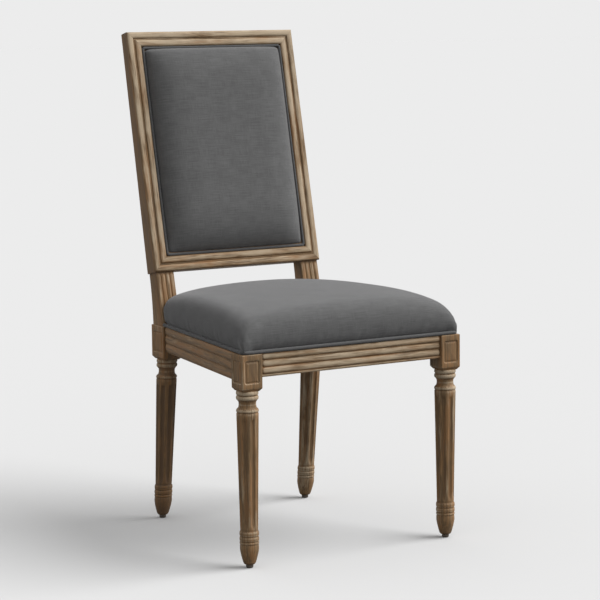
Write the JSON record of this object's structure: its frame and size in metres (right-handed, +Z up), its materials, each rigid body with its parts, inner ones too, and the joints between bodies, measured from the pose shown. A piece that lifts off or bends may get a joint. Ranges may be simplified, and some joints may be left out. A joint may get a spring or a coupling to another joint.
{
  "type": "upholstered dining side chair",
  "caption": "Square-backed side chair with a moulded wooden back frame, padded linen seat and back, reeded seat rails and turned, fluted legs.",
  "frame": {"origin": "on the floor plane, under the middle of the chair's overall width and depth", "axes": "+Z up from the floor; the seat faces -Y; +X is towards the chair's own left arm side, the viewer's right when seen from the front"},
  "size_m": [0.488, 0.5842, 1],
  "materials": {
    "oak": "weathered limed oak with dark grooves, matt",
    "hidden_wood": "plain sawn hardwood, unfinished",
    "linen": "charcoal linen with a slubby plain weave",
    "foam": "upholstery foam",
    "jute": "woven jute",
    "board": "thin plywood",
    "dust_cloth": "black non-woven cloth",
    "steel": "zinc-plated screw",
    "glide": "brown nylon glide"
  },
  "bodies": {
    "root": {"front_leg_left": "oak", "foot_glide_front_left": "glide", "corner_block_front_left": "hidden_wood", "screw_front_left_cross_rail": "steel", "screw_front_left_side_rail": "steel", "front_leg_right": "oak", "foot_glide_front_right": "glide", "corner_block_front_right": "hidden_wood", "screw_front_right_cross_rail": "steel", "screw_front_right_side_rail": "steel", "rear_leg_left": "oak", "foot_glide_rear_left": "glide", "corner_block_rear_left": "hidden_wood", "screw_rear_left_cross_rail": "steel", "screw_rear_left_side_rail": "steel", "rear_leg_right": "oak", "foot_glide_rear_right": "glide", "corner_block_rear_right": "hidden_wood", "screw_rear_right_cross_rail": "steel", "screw_rear_right_side_rail": "steel", "seat_rail_front": "oak", "seat_rail_rear": "oak", "seat_rail_left": "oak", "seat_rail_right": "oak", "crest_rail": "oak", "lower_back_rail": "oak", "webbing_along_1": "jute", "webbing_across_1": "jute", "webbing_along_2": "jute", "webbing_across_2": "jute", "webbing_along_3": "jute", "webbing_across_3": "jute", "webbing_along_4": "jute", "webbing_across_4": "jute", "seat_hessian": "jute", "dust_cover": "dust_cloth", "seat_foam": "foam", "back_foam": "foam", "seat_cover": "linen", "seat_welt": "linen", "seat_rear_welt": "linen", "back_board": "board", "outside_back_board": "board", "back_cover": "linen", "back_welt": "linen", "outside_back_cover": "linen", "outside_back_welt": "linen"}
  },
  "joints": []
}
